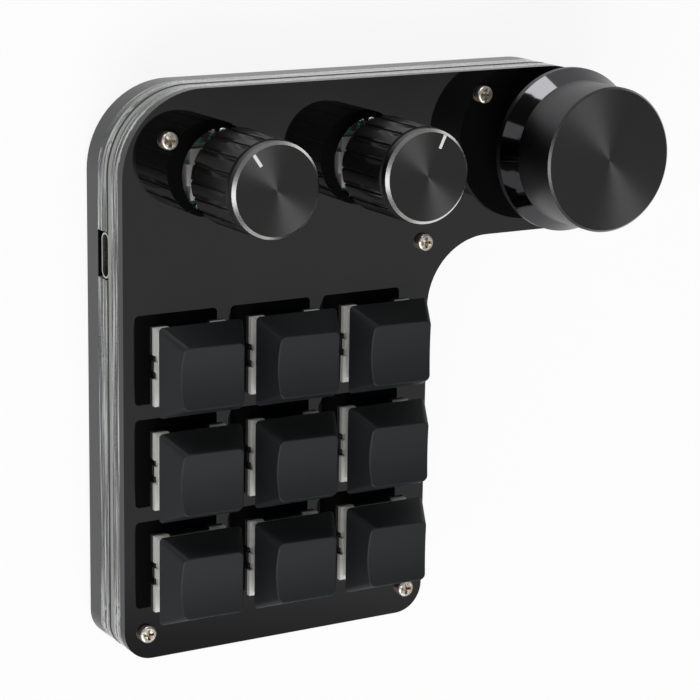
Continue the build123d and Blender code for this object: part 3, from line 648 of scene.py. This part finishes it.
# Encoder shafts: bare aluminium, turned and bright. The tool left rings round them, drawn
# 0.35 mm apart, coarser than the real ones.
shaft_metal, tree, shader = new_material("turned_aluminium", {
    "Metallic": 1.0, "Roughness": 0.28, "Base Color": linear("#c9cacc"),
})
place = add_node(tree, "ShaderNodeTexCoord")
marks = add_node(
    tree, "ShaderNodeTexWave", {"bands_direction": "Z", "Scale": 0.9 / MM, "Distortion": 0.5},
    {"Vector": place.outputs["Object"]},
)
bump = add_node(
    tree, "ShaderNodeBump", {"Strength": 0.2, "Distance": 0.01 * MM}, {"Height": marks.outputs["Fac"]}
)
tree.links.new(bump.outputs[0], shader.inputs["Normal"])
dress(shaft_metal, "encoder_shaft_1", "encoder_shaft_2", "encoder_shaft_3")

# Small dials: bodies of satin black ABS, moulded with long grooves all round. Their skin has
# a slight orange peel, drawn 0.7 mm wide, which softens what it mirrors.
dial_plastic, tree, shader = new_material("moulded_abs_satin_black", {
    "Roughness": 0.36, "IOR": 1.53, "Specular IOR Level": 0.29,
})
peel = mottle(tree, shader, "#0b0b0c", "#101011", 1.5 / MM)
bump = add_node(tree, "ShaderNodeBump", {"Strength": 0.2, "Distance": 0.02 * MM}, {"Height": peel})
tree.links.new(bump.outputs[0], shader.inputs["Normal"])
dress(dial_plastic, "small_dial_1", "small_dial_2")


# Dial discs: aluminium, turned and anodised black, let into the tops of the small dials. The
# turning's rings, drawn 0.26 mm apart, throw a fan of light, and the rim is cut bright after
# the anodising.
def turned_metal(name, axis, top_black, bright):
    """Black anodised aluminium round an axis: rings on the top face, and brighter metal on a rim.

    A slope low down is the large dial's cone, which is polished; one higher up is a cut rim.
    """
    material, tree, shader = new_material(name, {"Metallic": 1.0, "Anisotropic": 0.88})
    facing = add_node(tree, "ShaderNodeNewGeometry")
    up = add_node(tree, "ShaderNodeSeparateXYZ", None, {0: facing.outputs["Normal"]}).outputs["Z"]
    tilted = add_node(tree, "ShaderNodeMath", {"operation": "GREATER_THAN", 1: 0.6}, {0: up})
    not_level = add_node(tree, "ShaderNodeMath", {"operation": "LESS_THAN", 1: 0.9}, {0: up})
    rim = add_node(tree, "ShaderNodeMath", {"operation": "MULTIPLY"}, {0: tilted, 1: not_level})
    top = add_node(tree, "ShaderNodeMath", {"operation": "GREATER_THAN", 1: 0.9}, {0: up})
    black = add_node(
        tree, "ShaderNodeMix", {"data_type": "RGBA", 6: linear("#454547"), 7: linear(top_black)}, {0: top}
    )
    tone = add_node(
        tree, "ShaderNodeMix", {"data_type": "RGBA", 7: linear(bright)}, {0: rim, 6: black.outputs[2]}
    )
    tree.links.new(tone.outputs[2], shader.inputs["Base Color"])
    side = add_node(tree, "ShaderNodeMath", {"operation": "LESS_THAN", 1: 0.3}, {0: up})
    place = add_node(tree, "ShaderNodeTexCoord")
    way = add_node(tree, "ShaderNodeSeparateXYZ", None, {0: place.outputs["Object"]})
    cone_top = 29 * MM
    slope = add_node(
        tree, "ShaderNodeMapRange",
        {"From Min": cone_top, "From Max": cone_top + 1 * MM, "To Min": 0.05, "To Max": 0.26},
        {"Value": way.outputs["Z"]},
    )
    gloss = add_node(tree, "ShaderNodeMix", {"data_type": "FLOAT", 3: 0.4}, {0: top, 2: slope})
    gloss = add_node(tree, "ShaderNodeMix", {"data_type": "FLOAT", 3: 0.36}, {0: side, 2: gloss})
    tree.links.new(gloss.outputs[0], shader.inputs["Roughness"])
    middle = add_node(
        tree, "ShaderNodeMapping", {"Location": (-axis[0] * MM, -axis[1] * MM, 0)},
        {"Vector": place.outputs["Object"]},
    )
    rings = add_node(
        tree, "ShaderNodeTexWave", {"wave_type": "RINGS", "rings_direction": "Z", "Scale": 1.2 / MM},
        {"Vector": middle},
    )
    amount = add_node(tree, "ShaderNodeMath", {"operation": "MULTIPLY", 1: 0.3}, {0: top})
    bump = add_node(
        tree, "ShaderNodeBump", {"Distance": 0.004 * MM}, {"Strength": amount, "Height": rings.outputs["Fac"]}
    )
    tree.links.new(bump.outputs[0], shader.inputs["Normal"])
    round_way = add_node(tree, "ShaderNodeTangent", {"direction_type": "RADIAL", "axis": "Z"})
    tree.links.new(round_way.outputs[0], shader.inputs["Tangent"])
    return material


for number, axis in enumerate(dial_axes[:2], 1):
    disc_metal = turned_metal(f"anodised_disc_{number}", axis, "#4f4f50", "#dadad8")
    dress(disc_metal, f"dial_cap_{number}")

# Pointers: a line of white enamel on each disc, filled into a groove and rubbed level. It is
# matte and slightly uneven.
pointer_paint, tree, shader = new_material("white_enamel_fill", {"Roughness": 0.5})
mottle(tree, shader, "#f0f0ec", "#fafaf8", 2 / MM)
dress(pointer_paint, "pointer_1", "pointer_2")

# Large dial: turned from solid aluminium and anodised black, with a polished cone at its
# foot, a satin side and a turned top; its grub screw is on the hidden side.
big_metal = turned_metal("anodised_aluminium_black", dial_axes[2], "#505051", "#7e7e80")
dress(big_metal, "main_dial")
